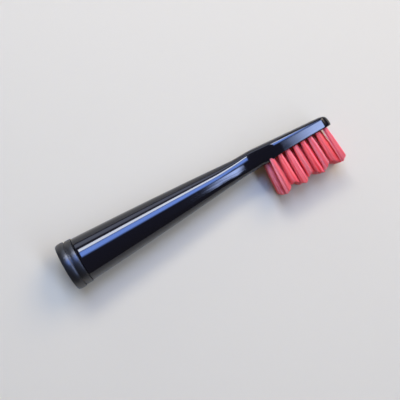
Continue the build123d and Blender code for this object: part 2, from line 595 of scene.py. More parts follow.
def repaint(node: str, material: bpy.types.Material) -> None:
    """Give a CAD node that stays a real finish.

    Args:
        node: The node's name.
        material: Its finish.
    """
    for slot in frame["nodes"][node].material_slots:
        slot.material = material
    LOG.info("%s: CAD node, %s", node, material.name)


# Pieces


@dataclass
class BrushBody:
    """The black moulding: hollow stem, neck and head, with the flat bristle face.

    Sizes are in millimetres, with x from the handle's seat to the tip.

    Attributes:
        length: Length from the handle's seat to the tip.
        stem_start: Where the stem starts, past the ring.
        base_radius: Radius of the stem at its start.
        neck_radius: Radius of the taper at the neck.
        neck_x: Where the neck is.
        belly: How far the taper bellies out midway.
        squaring_start: Where the round section starts to turn square.
        back_start: Where the stem's back starts to turn into the head's.
        back_end: Where the head's straight back starts.
        shoulder_start: Where the head starts to widen.
        taper_blend: Length on each side of the shoulders' start in which the taper runs out.
        shoulder_end: Where the head has its full width.
        rim_start: Where the section's front starts to grow into the head's.
        face_start: Where the scoop ends and the flat bristle face starts.
        half_width: Half of the head's width.
        front: Depth of the flat bristle face below the axis.
        front_blank: Depth of the head's section before the face cuts it off.
        back_at_shoulder: Height of the head's back where it starts.
        back_at_tip: Height of the head's back at the tip.
        squareness: Power of the head's superellipse.
        scoop_radius: Radius of the scoop between neck and face.
        tip_corner: Radius of the tip's corners, seen from the face.
        tip_back_round: How far the back comes down in the tip's rounding.
        tip_bow: Size of the bow of the tip's end.
        tip_slices: Slices across the tip's end.
        spigot_radius: Radius of the spigot that carries the ring.
        spigot_start: Where the spigot starts.
        cavity_mouth: Radius of the cavity at its mouth.
        cavity_end: Where the cavity's floor is.
        cavity_inner: Radius of the cavity at its floor.
        pocket_radius: Radius of the socket's pocket.
        pocket_end: Where the pocket ends.
        base_edge: Rounding of the stem's lower edge.
        rim_round: Rounding of the bristle face's rim.
        hole_radius: Radius of a tuft's hole.
        hole_depth: Depth of the hole below the flat face.
        hole_chamfer: Size of the hole's countersink.
        drill_points: Points round a hole.
        points: Points round each ring of the body.
        face_points: How many of them cross the bristle face.
        rim_points: How many of them are on each rim.
        least_face_turn: Half of the angle, in degrees, that the face's points span where there is no face.
        rim_turn: Angle, in degrees, that each rim's points span there.
        cuts: Cuts of each of the two subdivisions along the body.
        stem_rings: Rings on the round stem.
        tip_rings: Rings on the tip's corners.
    """

    length: float = 81.5
    stem_start: float = 4.6
    base_radius: float = 6.25
    neck_radius: float = 2.95
    neck_x: float = 52.5
    belly: float = 0.18
    squaring_start: float = 46.0
    back_start: float = 52.0
    back_end: float = 59.5
    shoulder_start: float = 55.0
    taper_blend: float = 3.0
    shoulder_end: float = 66.0
    rim_start: float = 59.5
    face_start: float = 66.0
    half_width: float = 5.3
    front: float = 2.25
    front_blank: float = 5.0
    back_at_shoulder: float = 2.86
    back_at_tip: float = 1.04
    squareness: float = 3.6
    scoop_radius: float = 20.0
    tip_corner: float = 2.6
    tip_back_round: float = 0.8
    tip_bow: float = 1.2
    tip_slices: int = 10
    spigot_radius: float = 5.5
    spigot_start: float = 0.8
    cavity_mouth: float = 4.6
    cavity_end: float = 16.8
    cavity_inner: float = 4.35
    pocket_radius: float = 3.0
    pocket_end: float = 33.8
    base_edge: float = 0.15
    rim_round: float = 0.55
    hole_radius: float = 0.8
    hole_depth: float = 2.3
    hole_chamfer: float = 0.1
    drill_points: int = 28
    points: int = 160
    face_points: int = 40
    rim_points: int = 8
    least_face_turn: float = 12.0
    rim_turn: float = 6.0
    cuts: int = 12
    stem_rings: int = 45
    tip_rings: int = 15

    def ease(self, first: float, second: float, x: float, start: float, end: float) -> float:
        """Value at x that eases from a first one at the start to a second one at the end."""
        share = min(max((x - start) / (end - start), 0.0), 1.0)
        return first + (second - first) * share * share * (3 - 2 * share)

    def stem_radius(self, x: float) -> float:
        """Radius of the bellied taper.

        Args:
            x: The place.

        Returns:
            The radius there, in millimetres.
        """
        share = (x - self.stem_start) / (self.neck_x - self.stem_start)
        straight = self.base_radius + (self.neck_radius - self.base_radius) * share
        return straight + 4 * self.belly * share * (1 - share)

    def taper_end(self, x: float) -> float:
        """Place up to which the taper counts at x: it runs out softly where the shoulders start."""
        left = min(max(self.shoulder_start + self.taper_blend - x, 0.0), 2 * self.taper_blend)
        return min(x, self.shoulder_start - left**2 / (4 * self.taper_blend))

    def back_line(self, x: float) -> float:
        """Distance of the head's straight back from the axis at x."""
        share = (x - self.back_end) / (self.length - self.back_end)
        return self.back_at_shoulder + (self.back_at_tip - self.back_at_shoulder) * share

    def face_depth(self, x: float) -> float:
        """Depth of the bristle face below the axis: more in the scoop, less where the tip is rounded.

        Args:
            x: The place.

        Returns:
            The depth there, in millimetres.
        """
        run = min(max(self.face_start - x, 0.0), self.scoop_radius)
        scoop = self.scoop_radius - math.sqrt(self.scoop_radius**2 - run**2)
        over = max(x - self.length + self.rim_round, 0.0)
        return self.front + scoop - self.rim_round + math.sqrt(self.rim_round**2 - over**2)

    def stations(self) -> list[tuple[float, float]]:
        """List the rings of points along the body.

        Returns:
            The place and the tip's turn in radians of each ring.
        """
        total = (self.cuts + 1) ** 2 + 1
        head_rings = total - self.stem_rings - self.tip_rings
        tip_start = self.length - self.tip_corner
        stem = np.linspace(self.stem_start, self.squaring_start, self.stem_rings, endpoint=False)
        head = np.linspace(self.squaring_start, tip_start, head_rings, endpoint=False)
        places = [(x, 0.0) for x in np.concatenate([stem, head])]
        for turn in np.linspace(0, math.pi / 2, self.tip_rings):
            places.append((self.length - self.tip_corner * (1 - math.sin(turn)), turn))
        return places

    def rim_arc(
        self, width: float, front: float, power: float, depth: float
    ) -> tuple[float, np.ndarray | None]:
        """Round the rim where the bristle face cuts a section.

        Args:
            width: Half of the section's width.
            front: Depth of the section before the face cuts it off.
            power: Power of the section's superellipse.
            depth: Depth of the face.

        Returns:
            The turn from the front at which the flank ends, in radians, and the height and width of
            each point on the rim, or None where the section has no face.
        """
        least = math.radians(self.least_face_turn + self.rim_turn)
        if depth >= front:
            return least, None
        across = (1 - (depth / front) ** power) ** (1 / power)
        if math.atan2(across, depth / front) <= least:
            return least, None
        slope = math.atan2((depth / front) ** (power - 1) / front, across ** (power - 1) / width)
        rise = self.rim_round * (1 - math.sin(slope))
        middle = width * across - rise / math.cos(slope)
        high = (depth - rise) / front
        swing = np.linspace(slope, math.pi / 2, self.rim_points + 1)[1:]
        heights = self.rim_round * (1 - np.sin(swing)) - depth
        widths = middle + self.rim_round * np.cos(swing)
        return math.atan2((1 - high**power) ** (1 / power), high), np.stack([heights, widths], axis=1)

    def ring(self, x: float, tip_turn: float) -> np.ndarray:
        """Points of one ring, starting at one rim of the bristle face and going round the back.

        Args:
            x: Place along the axis.
            tip_turn: How far the tip's rounding has turned, in radians.

        Returns:
            An array of points with x, y and z in millimetres.
        """
        radius = self.stem_radius(self.taper_end(x))
        shrink = 1 - math.cos(tip_turn)
        width = self.ease(radius, self.half_width, x, self.shoulder_start, self.shoulder_end)
        width -= self.tip_corner * shrink
        back = self.ease(self.stem_radius(x), self.back_line(x), x, self.back_start, self.back_end)
        back -= self.tip_back_round * shrink
        front = self.ease(radius, self.front_blank, x, self.rim_start, self.shoulder_end)
        power = self.ease(2.0, self.squareness, x, self.squaring_start, self.shoulder_end)
        depth = self.face_depth(x)
        flank_turn, rim = self.rim_arc(width, front, power, depth)

        def outline(turns: np.ndarray) -> np.ndarray:
            """Trace the section, cut off at the face.

            Args:
                turns: Turns round the axis, in radians.

            Returns:
                The height and width at each turn.
            """
            sines, cosines = np.sin(turns), np.cos(turns)
            reach = (np.abs(cosines) ** power + np.abs(sines) ** power) ** (-1 / power)
            heights = np.maximum(np.where(sines > 0, back, front) * reach * sines, -depth)
            return np.stack([heights, width * reach * cosines], axis=1)

        start = -math.pi / 2 + flank_turn
        around = self.points - self.face_points - 2 * self.rim_points
        skin = outline(np.linspace(start, math.pi - start, around))
        if rim is None:
            inner = start - math.radians(self.rim_turn)
            rim = outline(np.linspace(start, inner, self.rim_points + 1)[1:])
            face = outline(np.linspace(math.pi - inner, 2 * math.pi + inner, self.face_points + 2)[1:-1])
        else:
            reach_across = np.linspace(-rim[-1, 1], rim[-1, 1], self.face_points + 2)[1:-1]
            face = np.stack([np.full_like(reach_across, -depth), reach_across], axis=1)
        loop = np.concatenate([skin, rim * (1, -1), face, rim[::-1]])
        return np.concatenate([np.full((len(loop), 1), x), loop], axis=1)

    def close_tip(self, skin: bpy.types.Object) -> None:
        """Close the flat end of the tip, slice it across and bow it back.

        Args:
            skin: The skin with its open tip.
        """
        tip = self.length * MM - SAME_PLACE
        low, high = self.rim_round - self.front, self.back_at_tip
        with editing(skin):
            pick(Pick.EDGES, lambda edge: min(edge.verts[0].co.x, edge.verts[1].co.x) > tip)
            bpy.ops.mesh.edge_face_add()
            for height in np.linspace(low, high - self.tip_back_round, self.tip_slices + 1)[1:-1]:
                pick(Pick.FACES, lambda face: min(vertex.co.x for vertex in face.verts) > tip)
                bpy.ops.mesh.bisect(plane_co=(0, height * MM, 0), plane_no=(0, 1, 0))
        for vertex in skin.data.vertices:
            rise = min(max((vertex.co.y / MM - low) / (high - low), 0.0), 1.0)
            near_tip = max(1 - (self.length - vertex.co.x / MM) / self.tip_corner, 0.0)
            vertex.co.x -= self.tip_bow * near_tip**2 * (1 - math.sqrt(1 - rise**2)) * MM

    def outer_skin(self) -> bpy.types.Object:
        """Model the outside: a cylinder, subdivided into rings that take the sections' shapes.

        Returns:
            The skin, open at its base and closed at its tip.
        """
        stations = self.stations()
        span = self.length - self.stem_start
        bpy.ops.mesh.primitive_cylinder_add(
            vertices=self.points,
            radius=self.base_radius * MM,
            depth=span * MM,
            end_fill_type="NOTHING",
            location=((self.stem_start + span / 2) * MM, 0, 0),
            rotation=(0, math.pi / 2, 0),
        )
        skin = named("brush_body_gloss")
        with editing(skin):
            for _ in range(2):
                pick(Pick.EDGES, lambda edge: abs(edge.verts[0].co.x - edge.verts[1].co.x) > NEAR_PLACE)
                bpy.ops.mesh.subdivide(number_cuts=self.cuts)
        rings = np.stack([self.ring(*station) for station in stations])
        step = 2 * math.pi / self.points
        for vertex in skin.data.vertices:
            along = round((vertex.co.x / MM - self.stem_start) / span * (len(stations) - 1))
            around = round(math.atan2(vertex.co.y, vertex.co.z) / step) % self.points
            vertex.co = Vector(rings[along, around]) * MM
        self.close_tip(skin)
        return skin

    def hollow(self, skin: bpy.types.Object) -> None:
        """Extrude the base inwards: the step, the spigot, the cavity and the socket's pocket.

        Args:
            skin: The skin with its open base.
        """
        loops = [
            (self.stem_start, self.base_radius),
            (self.stem_start, self.spigot_radius),
            (self.spigot_start, self.spigot_radius),
            (self.spigot_start, self.cavity_mouth),
            (self.cavity_end, self.cavity_inner),
            (self.cavity_end, self.pocket_radius),
            (self.pocket_end, self.pocket_radius),
        ]
        base = self.stem_start * MM + SAME_PLACE
        with editing(skin):
            pick(Pick.EDGES, lambda edge: max(edge.verts[0].co.x, edge.verts[1].co.x) < base)
            for here, there in zip(loops, loops[1:]):
                extrude_loop(*here, *there)
            bpy.ops.mesh.edge_face_add()
            face_outwards()
            pick(Pick.EDGES, on_loop(self.stem_start, self.base_radius))
            round_edges(self.base_edge)

    def drill(self, place: "TuftPlace") -> bpy.types.Object:
        """Model the drill for one tuft: a rod with a countersink that starts below the bristle face.

        Args:
            place: Where the tuft stands.

        Returns:
            The drill, leaning in its place.
        """
        root = self.face_depth(place.x) - self.front
        depth = self.hole_depth + root - self.hole_chamfer
        bpy.ops.mesh.primitive_cylinder_add(
            vertices=self.drill_points,
            radius=self.hole_radius * MM,
            depth=depth * MM,
            location=(0, (self.hole_depth - depth / 2) * MM, 0),
            rotation=(math.pi / 2, 0, 0),
        )
        drill = named("drill")
        with editing(drill):
            pick(Pick.FACES, lambda face: face.normal.y < -FACING)
            wide = (self.hole_radius + 2 * self.hole_chamfer) / self.hole_radius
            mouth = (0, -(root + self.hole_chamfer) * MM, 0)
            sink = (0, -2 * self.hole_chamfer * MM, 0)
            bpy.ops.mesh.extrude_region_move(TRANSFORM_OT_translate={"value": sink})
            bpy.ops.transform.resize(value=(wide, 1, wide), center_override=mouth)
            clear = (0, -self.hole_radius * MM, 0)
            bpy.ops.mesh.extrude_region_move(TRANSFORM_OT_translate={"value": clear})
        drill.data.transform(place.matrix)
        return drill

    def hole_tool(self, places: Sequence["TuftPlace"]) -> bpy.types.Object:
        """Join the drills of all the tufts.

        Args:
            places: Where the tufts stand.

        Returns:
            All the drills as one object.
        """
        drills = [self.drill(place) for place in places]
        only(drills[0])
        for drill in drills[1:]:
            drill.select_set(True)
        bpy.ops.object.join()
        return drills[0]

    def build(self, lie: BrushFrame, places: Sequence["TuftPlace"], finish: bpy.types.Material) -> None:
        """Model the moulding, lay it down and dress it.

        Args:
            lie: Where the brush lies.
            places: Where the tufts stand.
            finish: The gloss finish.
        """
        body = self.outer_skin()
        self.hollow(body)
        cut(body, self.hole_tool(places))
        smooth(body, CREASE_DEGREES)
        lie.lay(body)
        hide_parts("brush_body")
        dress(body, finish)


@dataclass
class BaseRing:
    """The satin ring at the base: a barrelled lower band, a groove and a plain upper band.

    Sizes are in millimetres.

    Attributes:
        length: Length of the ring.
        mouth: Radius of the opening in its lip.
        bore: Radius of the bore that takes the spigot.
        lip: Thickness of the lip.
        band_radius: Radius of the lower band at its edges.
        barrel: How far the lower band barrels out.
        lower_band: Where the lower band ends.
        groove_width: Width of the groove.
        groove_radius: Radius of the groove's floor.
        upper_radius: Radius of the upper band.
        bottom_round: Rounding of the lower edge.
        top_round: Rounding of the upper edge.
        fine_round: Rounding of the groove's edges and of the mouth.
        points: Points round each loop.
        round_loops: Loops on the lower edge's rounding.
        barrel_loops: Loops on the lower band.
    """

    length: float = 4.5
    mouth: float = 4.8
    bore: float = 5.52
    lip: float = 0.8
    band_radius: float = 6.61
    barrel: float = 0.14
    lower_band: float = 2.4
    groove_width: float = 0.4
    groove_radius: float = 6.17
    upper_radius: float = 6.47
    bottom_round: float = 0.35
    top_round: float = 0.15
    fine_round: float = 0.06
    points: int = 128
    round_loops: int = 6
    barrel_loops: int = 8

    def profile(self) -> list[tuple[float, float]]:
        """List the loops of the ring's outline, from its mouth round the outside to its bore.

        Returns:
            The place along the axis and the radius of each loop.
        """
        outline = [(0.0, self.mouth), (0.0, self.band_radius - self.bottom_round)]
        for turn in np.linspace(0, math.pi / 2, self.round_loops)[1:]:
            x = self.bottom_round * (1 - math.cos(turn))
            outline.append((x, self.band_radius - self.bottom_round * (1 - math.sin(turn))))
        for share in np.linspace(0, 1, self.barrel_loops)[1:]:
            x = self.bottom_round + (self.lower_band - self.bottom_round) * share
            outline.append((x, self.band_radius + 4 * self.barrel * share * (1 - share)))
        groove_end = self.lower_band + self.groove_width
        outline += [
            (self.lower_band, self.groove_radius),
            (groove_end, self.groove_radius),
            (groove_end, self.upper_radius),
            (self.length, self.upper_radius),
            (self.length, self.bore),
            (self.lip, self.bore),
            (self.lip, self.mouth),
            (0.0, self.mouth),
        ]
        return outline

    def build(self, lie: BrushFrame, finish: bpy.types.Material) -> None:
        """Model the ring, lay it down and dress it.

        Args:
            lie: Where the brush lies.
            finish: The satin finish.
        """
        ring = turn_profile("base_ring_satin", self.profile(), self.points)
        rounds = [
            (self.length, self.upper_radius, self.top_round),
            (self.lower_band, self.band_radius, self.fine_round),
            (self.lower_band + self.groove_width, self.upper_radius, self.fine_round),
            (0.0, self.mouth, self.fine_round),
        ]
        with editing(ring):
            bpy.ops.mesh.remove_doubles(threshold=WELD)
            face_outwards()
            for x, radius, size in rounds:
                pick(Pick.EDGES, on_loop(x, radius))
                round_edges(size)
        smooth(ring, CREASE_DEGREES)
        lie.lay(ring)
        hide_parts("base_ring")
        dress(ring, finish)


@dataclass
class DriveSocket:
    """The grey sleeve in the stem, with a round guide bore and a D-shaped seat.

    Sizes are in millimetres.

    Attributes:
        flange_start: Where the flange starts.
        flange_radius: Radius of the flange.
        pocket_start: Where the flange stops on the cavity's floor.
        barrel: Radius of the sleeve in its pocket.
        end: Where the sleeve ends.
        guide_radius: Radius of the guide bore.
        lead_in: Size of the bore's lead-in.
        seat_start: Where the bore ends and the seat starts.
        seat_length: Length of the seat.
        seat_radius: Radius of the seat's round.
        seat_flat: Height of the seat's flat above the axis.
        seat_points: Points round the seat.
        slot_length: Length of the spring's slot.
        slot_width: Width of the slot.
        slot_sink: How far the slot reaches below the flat.
        overrun: How far the seat's cut runs into the bore.
        slot_overrun: How much taller the slot's cut is than the wall.
        edge: Chamfer of the outer edges.
        points: Points round each loop.
    """

    flange_start: float = 15.8
    flange_radius: float = 3.9
    pocket_start: float = 16.8
    barrel: float = 2.98
    end: float = 33.3
    guide_radius: float = 2.0
    lead_in: float = 0.3
    seat_start: float = 23.8
    seat_length: float = 8.0
    seat_radius: float = 1.75
    seat_flat: float = 1.2
    seat_points: int = 64
    slot_length: float = 7.0
    slot_width: float = 2.4
    slot_sink: float = 0.2
    overrun: float = 1.0
    slot_overrun: float = 0.6
    edge: float = 0.12
    points: int = 96

    def profile(self) -> list[tuple[float, float]]:
        """List the loops of the sleeve's outline, from the end of its bore round the outside.

        Returns:
            The place along the axis and the radius of each loop.
        """
        return [
            (self.seat_start, self.guide_radius),
            (self.flange_start + self.lead_in, self.guide_radius),
            (self.flange_start, self.guide_radius + self.lead_in),
            (self.flange_start, self.flange_radius - self.edge),
            (self.flange_start + self.edge, self.flange_radius),
            (self.pocket_start, self.flange_radius),
            (self.pocket_start, self.barrel),
            (self.end - self.edge, self.barrel),
            (self.end, self.barrel - self.edge),
        ]

    def seat_tool(self) -> bpy.types.Object:
        """Model the D-shaped seat as a cylinder that is cut off at its flat.

        Returns:
            The shape to cut out of the sleeve.
        """
        bpy.ops.mesh.primitive_cylinder_add(
            vertices=self.seat_points,
            radius=self.seat_radius * MM,
            depth=(self.seat_length + self.overrun) * MM,
            location=((self.seat_start + (self.seat_length - self.overrun) / 2) * MM, 0, 0),
            rotation=(0, math.pi / 2, 0),
        )
        tool = named("seat_tool")
        with editing(tool):
            bpy.ops.mesh.bisect(plane_co=(0, self.seat_flat * MM, 0), plane_no=(0, 1, 0), clear_outer=True)
            pick(Pick.EDGES, lambda edge: edge.is_boundary)
            bpy.ops.mesh.edge_face_add()
        return tool

    def slot_tool(self) -> bpy.types.Object:
        """Model the spring's slot as a block through one wall of the seat.

        Returns:
            The shape to cut out of the sleeve.
        """
        height = self.barrel - self.seat_flat + self.slot_overrun
        bpy.ops.mesh.primitive_cube_add(
            size=1,
            location=(
                (self.seat_start + self.seat_length / 2) * MM,
                (self.seat_flat - self.slot_sink + height / 2) * MM,
                0,
            ),
            scale=(self.slot_length * MM, height * MM, self.slot_width * MM),
        )
        return named("slot_tool")

    def build(self, lie: BrushFrame, finish: bpy.types.Material) -> None:
        """Model the sleeve, cut its seat and slot, lay it down and dress it.

        Args:
            lie: Where the brush lies.
            finish: The acetal finish.
        """
        profile = self.profile()
        sleeve = turn_profile("drive_socket_grey", profile, self.points)
        with editing(sleeve):
            for x, radius in (profile[0], profile[-1]):
                pick(Pick.EDGES, on_loop(x, radius))
                bpy.ops.mesh.edge_face_add()
            face_outwards()
        cut(sleeve, self.seat_tool())
        cut(sleeve, self.slot_tool())
        smooth(sleeve, CREASE_DEGREES)
        lie.lay(sleeve)
        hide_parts("drive_socket")
        dress(sleeve, finish)


@dataclass(frozen=True)
class TuftPlace:
    """Where one tuft stands and how far it leans towards the tip.

    Attributes:
        row: Row of the tuft, from the lower side.
        number: Its number in the row, from the neck.
        x: Place of its hole along the brush, in millimetres.
        face: Depth of the flat bristle face.
        across: Place of its hole across the brush.
        lean: Lean towards the tip, in degrees.
        root: How far the hole's wall reaches past the flat face, in the scoop.
    """

    row: int
    number: int
    x: float
    face: float
    across: float
    lean: float
    root: float

    @property
    def node(self) -> str:
        """Name of the CAD node that the tuft stands for."""
        return f"tuft_row{self.row}_{self.number}"

    @property
    def matrix(self) -> Matrix:
        """Place at the hole, with Y along the lean into the head."""
        lean = Matrix.Rotation(math.radians(self.lean), 4, "Z")
        return Matrix.Translation(Vector((self.x, -self.face, self.across)) * MM) @ lean


@dataclass
class Tufts:
    """Four rows of tufts: bundles of red filaments with a zigzag trim.

    Sizes are in millimetres and leans in degrees.

    Attributes:
        rows: Number of rows.
        tufts_in_row: Tufts in each row.
        pitch: Spacing of the tufts in a row.
        row_spacing: Spacing of the rows.
        last_x: Where the last hole of the outer rows is.
        inside: How far the filaments reach into the hole.
        neck_lean: Lean of the tufts at the neck.
        tip_lean: Lean of the tufts at the tip.
        filament_radius: Radius of a filament.
        filament_gap: Spacing of the filaments in the hole.
        filament_sides: Sides of a filament.
        filament_cuts: Cuts along a filament.
        end_round: Length of the filament's rounded end.
        end_share: Share of its radius that is left at the very end.
        root_radius: Radius of a tuft in its hole.
        tip_radius: Radius of a tuft across the brush at its full length.
        row_radius: Radius of a tuft along its row at its full length.
        row_flare: Power of the flare along the row, which opens early.
        peak_length: Length at the peaks of the trim.
        valley_length: Length in its valleys.
        peak_pitch: Spacing of the peaks.
        last_peak: Where the last peak is.
        trim_rounds: Rounds in which each filament's length is found.
        uneven: How far the cut ends differ.
        sway: How far the filaments stray, as a share of the tuft's radius.
        tone_middle: Middle of the filaments' tones, from deep to pale.
        tone_spread: Spread of the tones.
        crease: Edges sharper than this angle stay sharp.
        seed: Seed of the small differences.
    """

    rows: int = 4
    tufts_in_row: int = 8
    pitch: float = 2.42
    row_spacing: float = 2.4
    last_x: float = 79.2
    inside: float = 0.9
    neck_lean: float = -1.5
    tip_lean: float = 2.5
    filament_radius: float = 0.102
    filament_gap: float = 0.208
    filament_sides: int = 6
    filament_cuts: int = 3
    end_round: float = 0.06
    end_share: float = 0.55
    root_radius: float = 0.78
    tip_radius: float = 1.12
    row_radius: float = 1.2
    row_flare: float = 0.6
    peak_length: float = 10.4
    valley_length: float = 8.35
    peak_pitch: float = 5.85
    last_peak: float = 78.95
    trim_rounds: int = 4
    uneven: float = 0.1
    sway: float = 0.045
    tone_middle: float = 0.5
    tone_spread: float = 0.22
    crease: float = 50
    seed: int = 11

    def places(self, body: BrushBody) -> list[TuftPlace]:
        """List where every tuft stands.

        Args:
            body: The moulding that holds the tufts.

        Returns:
            The places, row by row from the lower side.
        """
        found = []
        for row in range(self.rows):
            across = (row - (self.rows - 1) / 2) * self.row_spacing
            shift = 0.0 if row in (0, self.rows - 1) else self.pitch / 2
            for number in range(self.tufts_in_row):
                x = self.last_x - (self.tufts_in_row - 1 - number) * self.pitch - shift
                share = (self.last_x - x) / (self.tufts_in_row * self.pitch)
                lean = self.tip_lean + (self.neck_lean - self.tip_lean) * share
                root = body.face_depth(x - body.hole_radius) - body.front
                found.append(TuftPlace(row + 1, number + 1, x, body.front, across, lean, root))
        return found

    def trim_length(self, x: np.ndarray) -> np.ndarray:
        """Length that the zigzag trim leaves.

        Args:
            x: Places along the brush.

        Returns:
            The length at each place, in millimetres.
        """
        steps = np.abs((x - self.last_peak) / self.peak_pitch)
        from_peak = np.abs(steps - np.round(steps)) * 2
        return self.peak_length + (self.valley_length - self.peak_length) * from_peak

    def flared(self, base: np.ndarray, spread: np.ndarray, run: np.ndarray, root: float) -> np.ndarray:
        """Places between those in the hole and those at full length, at a run from the face past the root."""
        share = np.clip((run - root) / (self.peak_length - root), 0, None)
        return base + (spread - base) * np.stack([share**self.row_flare, share], axis=-1)

    def filament(self) -> tuple[np.ndarray, list[list[int]]]:
        """Model one filament of unit length: a hexagonal rod with rings along it and a rounded end.

        Returns:
            Its points in millimetres, with the length along z, and its faces.
        """
        middle = 0.5
        bpy.ops.mesh.primitive_cylinder_add(
            vertices=self.filament_sides,
            radius=self.filament_radius,
            depth=1,
            location=(0, 0, middle),
            end_fill_type="NGON",
        )
        rod = named("filament")
        with editing(rod):
            pick(Pick.EDGES, lambda edge: abs(edge.verts[0].co.z - edge.verts[1].co.z) > middle)
            bpy.ops.mesh.subdivide(number_cuts=self.filament_cuts)
            pick(Pick.FACES, lambda face: face.normal.z > FACING)
            bpy.ops.mesh.extrude_region_move(TRANSFORM_OT_translate={"value": (0, 0, self.end_round)})
            bpy.ops.transform.resize(value=(self.end_share, self.end_share, 1), center_override=(0, 0, 1))
        points = np.array([vertex.co for vertex in rod.data.vertices])
        faces = [list(face.vertices) for face in rod.data.polygons]
        bpy.data.objects.remove(rod)
        return points, faces

    def roots(self) -> np.ndarray:
        """List the places of the filaments in a tuft, packed like a honeycomb round its middle.

        Returns:
            The places across the tuft, in millimetres.
        """
        reach = self.root_radius - self.filament_radius
        rise = self.filament_gap * math.sqrt(3) / 2
        count = int(reach / rise) + 1
        found = []
        for line in range(-count, count + 1):
            offset = self.filament_gap / 2 if line % 2 else 0.0
            for step in range(-count, count + 1):
                point = (step * self.filament_gap + offset, line * rise)
                if math.hypot(*point) <= reach:
                    found.append(point)
        return np.array(found)

    def lengths(self, place: TuftPlace, base: np.ndarray, spread: np.ndarray) -> np.ndarray:
        """Find where the trim cuts each filament, in rounds, because a leaning end moves as it gets shorter.

        Args:
            place: Where the tuft stands.
            base: Places of the filaments in the hole.
            spread: Their places at full length.

        Returns:
            The length of each filament from the flat face, in millimetres.
        """
        lean = math.radians(place.lean)
        length = np.full(len(base), self.peak_length)
        for _ in range(self.trim_rounds):
            top = self.flared(base, spread, length, place.root)
            top_x = place.x + top[:, 0] * math.cos(lean) + length * math.sin(lean)
            length = (self.trim_length(top_x) + top[:, 0] * math.sin(lean)) / math.cos(lean)
        return length

    def bundle(
        self, place: TuftPlace, points: np.ndarray, faces: list[list[int]], tones: np.ndarray
    ) -> bpy.types.Object:
        """Make one mesh of a tuft's filaments, each with a tone of its own.

        Args:
            place: Where the tuft stands.
            points: Points of every filament, in millimetres.
            faces: Faces of one filament.
            tones: Tone of every filament, from deep to pale.

        Returns:
            The tuft, still upright.
        """
        count, corners, _ = points.shape
        starts = range(0, count * corners, corners)
        all_faces = [[start + corner for corner in face] for start in starts for face in faces]
        mesh = bpy.data.meshes.new(f"bristles_row{place.row}_{place.number}")
        mesh.from_pydata((points.reshape(-1, 3) * MM).tolist(), [], all_faces)
        mesh.transform(place.matrix)
        tone = mesh.attributes.new("tone", "FLOAT", "POINT")
        tone.data.foreach_set("value", np.repeat(tones, corners).astype(np.float32))
        tuft = bpy.data.objects.new(mesh.name, mesh)
        bpy.context.collection.objects.link(tuft)
        smooth(tuft, self.crease)
        return tuft

    def tuft(
        self,
        place: TuftPlace,
        rod: np.ndarray,
        faces: list[list[int]],
        roots: np.ndarray,
        rng: np.random.Generator,
    ) -> bpy.types.Object:
        """Copy the filament into one tuft: packed in the hole, flared above it, trimmed at its end.

        Args:
            place: Where the tuft stands.
            rod: Points of one filament.
            faces: Faces of one filament.
            roots: Places of the filaments in the tuft.
            rng: Source of the small differences between filaments.

        Returns:
            The tuft, still upright.
        """
        count = len(roots)
        spun = rng.uniform(0, 2 * math.pi)
        turn = np.array([[math.cos(spun), -math.sin(spun)], [math.sin(spun), math.cos(spun)]])
        base = roots @ turn.T
        spread = base / (self.root_radius - self.filament_radius) + rng.normal(0, self.sway, (count, 2))
        spread /= np.maximum(np.linalg.norm(spread, axis=1, keepdims=True), 1)
        spread *= (self.row_radius - self.filament_radius, self.tip_radius - self.filament_radius)
        length = self.lengths(place, base, spread)
        length -= self.end_round + rng.uniform(0, self.uneven, count)
        spins = rng.uniform(0, 2 * math.pi / self.filament_sides, count)
        tones = np.clip(rng.normal(self.tone_middle, self.tone_spread, count), 0, 1)
        first_ring = 1 / (self.filament_cuts + 1)
        points = np.zeros((count, len(rod), 3))
        for index in range(count):
            c, s = math.cos(spins[index]), math.sin(spins[index])
            around = rod[:, :2] @ np.array([[c, s], [-s, c]])
            run = np.interp(rod[:, 2], (0, first_ring, 1), (-self.inside, place.root, length[index]))
            flat = self.flared(base[index], spread[index], run, place.root) + around
            points[index, :, 0] = flat[:, 0]
            points[index, :, 1] = -run - np.maximum(rod[:, 2] - 1.0, 0.0)
            points[index, :, 2] = flat[:, 1]
        return self.bundle(place, points, faces, tones)

    def build(self, lie: BrushFrame, places: Sequence[TuftPlace], finish: bpy.types.Material) -> None:
        """Model every tuft from copies of one filament, lay them down and dress them.

        Args:
            lie: Where the brush lies.
            places: Where the tufts stand.
            finish: The nylon finish.
        """
        rod, faces = self.filament()
        roots = self.roots()
        rng = np.random.default_rng(self.seed)
        for place in places:
            tuft = self.tuft(place, rod, faces, roots, rng)
            lie.lay(tuft)
            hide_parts(place.node)
            dress(tuft, finish)


# Stage


